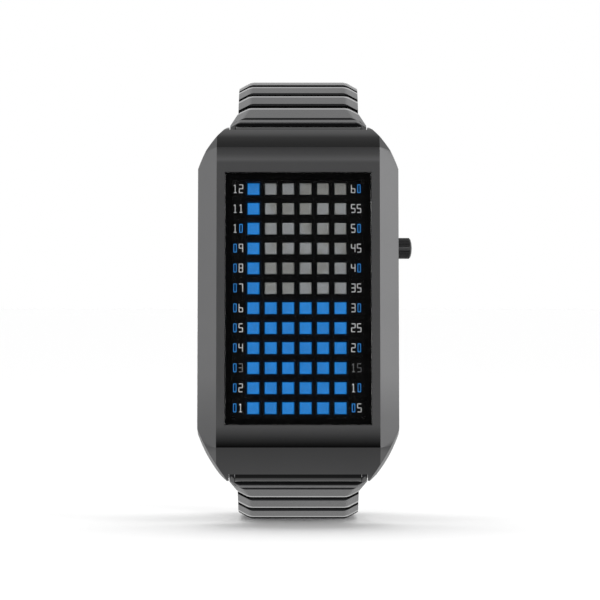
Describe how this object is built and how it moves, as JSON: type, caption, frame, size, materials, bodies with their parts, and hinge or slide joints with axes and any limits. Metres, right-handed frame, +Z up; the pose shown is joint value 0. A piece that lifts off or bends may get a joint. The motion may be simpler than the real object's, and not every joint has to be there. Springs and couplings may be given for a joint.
{
  "type": "led watch",
  "caption": "Rectangular wristwatch with a grid of square LEDs behind a flat crystal, a ribbed push button and a metal link bracelet with a folding clasp, stood on its bracelet.",
  "frame": {"origin": "centre of the outer face of the bracelet link that the watch stands on", "axes": "+X to the right of the dial, +Y from the dial to the back of the loop, +Z up"},
  "size_m": [0.0353, 0.0646, 0.0737],
  "materials": {
    "case": "satin",
    "links": "satin",
    "dark_steel": "satin",
    "bare_steel": "satin",
    "cell": "satin",
    "crystal": "gloss",
    "mask": "matte",
    "led_blue": "satin",
    "led_grey": "satin",
    "board": "satin",
    "chips": "satin",
    "frame": "matte",
    "rubber": "matte",
    "button": "satin"
  },
  "bodies": {
    "case": {"case_body": "case", "crystal": "crystal", "crystal_gasket": "rubber", "display_mask": "mask", "leds_lit": "led_blue", "leds_unlit": "led_grey", "circuit_board": "board", "board_parts": "chips", "module_frame": "frame", "battery": "cell", "battery_clip": "bare_steel", "case_back": "bare_steel", "back_gasket": "rubber", "back_screws": "dark_steel", "button_spring": "bare_steel", "spring_bars": "bare_steel", "end_bars": "dark_steel"},
    "button": {"button": "button", "button_seals": "rubber"},
    "upper_link_1": {"upper_link_1": "links"},
    "upper_link_2": {"upper_link_2": "links", "upper_pin_1": "bare_steel"},
    "upper_link_3": {"upper_link_3": "links", "upper_pin_2": "bare_steel"},
    "upper_link_4": {"upper_link_4": "links", "upper_pin_3": "bare_steel"},
    "upper_link_5": {"upper_link_5": "links", "upper_pin_4": "bare_steel"},
    "upper_link_6": {"upper_link_6": "links", "upper_pin_5": "bare_steel"},
    "upper_link_7": {"upper_link_7": "links", "upper_pin_6": "bare_steel"},
    "upper_link_8": {"upper_link_8": "links", "upper_pin_7": "bare_steel"},
    "upper_link_9": {"upper_link_9": "links", "upper_pin_8": "bare_steel", "upper_pin_9": "bare_steel"},
    "lower_link_1": {"lower_link_1": "links"},
    "lower_link_2": {"lower_link_2": "links", "lower_pin_1": "bare_steel"},
    "lower_link_3": {"lower_link_3": "links", "lower_pin_2": "bare_steel"},
    "lower_link_4": {"lower_link_4": "links", "lower_pin_3": "bare_steel"},
    "lower_link_5": {"lower_link_5": "links", "lower_pin_4": "bare_steel"},
    "lower_link_6": {"lower_link_6": "links", "lower_pin_5": "bare_steel"},
    "lower_link_7": {"lower_link_7": "links", "lower_pin_6": "bare_steel"},
    "lower_link_8": {"lower_link_8": "links", "lower_pin_7": "bare_steel"},
    "lower_link_9": {"lower_link_9": "links", "lower_pin_8": "bare_steel"},
    "clasp_inner": {"clasp_inner_blade": "links", "lower_pin_9": "bare_steel"},
    "clasp_middle": {"clasp_middle_blade": "links", "clasp_hinge_pins": "bare_steel"},
    "clasp_cover": {"clasp_cover": "links"}
  },
  "joints": [
    {"name": "button_press", "type": "slide", "parent": "case", "child": "button", "axis": [-1, 0, 0], "range_m": [0, 0.0006], "stiffness_N_per_m": 1000, "springref_m": -0.001},
    {"name": "upper_bracelet_swing", "type": "hinge", "parent": "case", "child": "upper_link_1", "pos_m": [0, -0.00972, 0.06394], "axis": [1, 0, 0], "range_deg": [0, 52]},
    {"name": "upper_pivot_1", "type": "hinge", "parent": "upper_link_1", "child": "upper_link_2", "pos_m": [0, -0.00337, 0.06732], "axis": [1, 0, 0], "range_deg": [0, 6]},
    {"name": "upper_pivot_2", "type": "hinge", "parent": "upper_link_2", "child": "upper_link_3", "pos_m": [0, 0.00164, 0.06934], "axis": [1, 0, 0], "range_deg": [0, 4]},
    {"name": "upper_pivot_3", "type": "hinge", "parent": "upper_link_3", "child": "upper_link_4", "pos_m": [0, 0.00678, 0.07101], "axis": [1, 0, 0], "range_deg": [0, 10]},
    {"name": "upper_pivot_4", "type": "hinge", "parent": "upper_link_4", "child": "upper_link_5", "pos_m": [0, 0.01212, 0.07176], "axis": [1, 0, 0], "range_deg": [0, 8]},
    {"name": "upper_pivot_5", "type": "hinge", "parent": "upper_link_5", "child": "upper_link_6", "pos_m": [0, 0.01752, 0.07176], "axis": [1, 0, 0], "range_deg": [0, 6]},
    {"name": "upper_pivot_6", "type": "hinge", "parent": "upper_link_6", "child": "upper_link_7", "pos_m": [0, 0.02289, 0.0712], "axis": [1, 0, 0], "range_deg": [0, 8]},
    {"name": "upper_pivot_7", "type": "hinge", "parent": "upper_link_7", "child": "upper_link_8", "pos_m": [0, 0.02813, 0.06989], "axis": [1, 0, 0], "range_deg": [0, 14]},
    {"name": "upper_pivot_8", "type": "hinge", "parent": "upper_link_8", "child": "upper_link_9", "pos_m": [0, 0.0329, 0.06736], "axis": [1, 0, 0], "range_deg": [0, 26]},
    {"name": "lower_bracelet_swing", "type": "hinge", "parent": "case", "child": "lower_link_1", "pos_m": [0, -0.01955, 0.0082], "axis": [-1, 0, 0], "range_deg": [0, 78]},
    {"name": "lower_pivot_1", "type": "hinge", "parent": "lower_link_1", "child": "lower_link_2", "pos_m": [0, -0.01288, 0.0055], "axis": [-1, 0, 0], "range_deg": [0, 1]},
    {"name": "lower_pivot_2", "type": "hinge", "parent": "lower_link_2", "child": "lower_link_3", "pos_m": [0, -0.00784, 0.00357], "axis": [-1, 0, 0], "range_deg": [0, 3]},
    {"name": "lower_pivot_3", "type": "hinge", "parent": "lower_link_3", "child": "lower_link_4", "pos_m": [0, -0.0027, 0.0019], "axis": [-1, 0, 0], "range_deg": [0, 18]},
    {"name": "lower_pivot_4", "type": "hinge", "parent": "lower_link_4", "child": "lower_link_5", "pos_m": [0, 0.0027, 0.0019], "axis": [-1, 0, 0], "range_deg": [0, 1]},
    {"name": "lower_pivot_5", "type": "hinge", "parent": "lower_link_5", "child": "lower_link_6", "pos_m": [0, 0.0081, 0.00199], "axis": [-1, 0, 0], "range_deg": [0, 5]},
    {"name": "lower_pivot_6", "type": "hinge", "parent": "lower_link_6", "child": "lower_link_7", "pos_m": [0, 0.01347, 0.00256], "axis": [-1, 0, 0], "range_deg": [0, 10]},
    {"name": "lower_pivot_7", "type": "hinge", "parent": "lower_link_7", "child": "lower_link_8", "pos_m": [0, 0.01866, 0.00405], "axis": [-1, 0, 0], "range_deg": [0, 16]},
    {"name": "lower_pivot_8", "type": "hinge", "parent": "lower_link_8", "child": "lower_link_9", "pos_m": [0, 0.02324, 0.00691], "axis": [-1, 0, 0], "range_deg": [0, 22]},
    {"name": "clasp_pivot", "type": "hinge", "parent": "lower_link_9", "child": "clasp_inner", "pos_m": [0, 0.02641, 0.01128], "axis": [-1, 0, 0], "range_deg": [0, 3.3]},
    {"name": "clasp_unfold", "type": "hinge", "parent": "clasp_inner", "child": "clasp_middle", "pos_m": [0, 0.03672, 0.05703], "axis": [1, 0, 0], "range_deg": [0, 140]},
    {"name": "clasp_cover_unfold", "type": "hinge", "parent": "clasp_middle", "child": "clasp_cover", "pos_m": [0, 0.0286, 0.01371], "axis": [-1, 0, 0], "range_deg": [0, 140]}
  ],
  "couplings": [
    {"joint": "upper_pivot_1", "follows": "upper_bracelet_swing", "ratio": 0.11538},
    {"joint": "upper_pivot_2", "follows": "upper_bracelet_swing", "ratio": 0.076923},
    {"joint": "upper_pivot_3", "follows": "upper_bracelet_swing", "ratio": 0.19231},
    {"joint": "upper_pivot_4", "follows": "upper_bracelet_swing", "ratio": 0.15385},
    {"joint": "upper_pivot_5", "follows": "upper_bracelet_swing", "ratio": 0.11538},
    {"joint": "upper_pivot_6", "follows": "upper_bracelet_swing", "ratio": 0.15385},
    {"joint": "upper_pivot_7", "follows": "upper_bracelet_swing", "ratio": 0.26923},
    {"joint": "upper_pivot_8", "follows": "upper_bracelet_swing", "ratio": 0.5},
    {"joint": "lower_pivot_1", "follows": "lower_bracelet_swing", "ratio": 0.01282},
    {"joint": "lower_pivot_2", "follows": "lower_bracelet_swing", "ratio": 0.038461},
    {"joint": "lower_pivot_3", "follows": "lower_bracelet_swing", "ratio": 0.23077},
    {"joint": "lower_pivot_4", "follows": "lower_bracelet_swing", "ratio": 0.01282},
    {"joint": "lower_pivot_5", "follows": "lower_bracelet_swing", "ratio": 0.064102},
    {"joint": "lower_pivot_6", "follows": "lower_bracelet_swing", "ratio": 0.12821},
    {"joint": "lower_pivot_7", "follows": "lower_bracelet_swing", "ratio": 0.20513},
    {"joint": "lower_pivot_8", "follows": "lower_bracelet_swing", "ratio": 0.28205},
    {"joint": "clasp_pivot", "follows": "lower_bracelet_swing", "ratio": 0.042307},
    {"joint": "clasp_cover_unfold", "follows": "clasp_unfold", "ratio": 1}
  ]
}
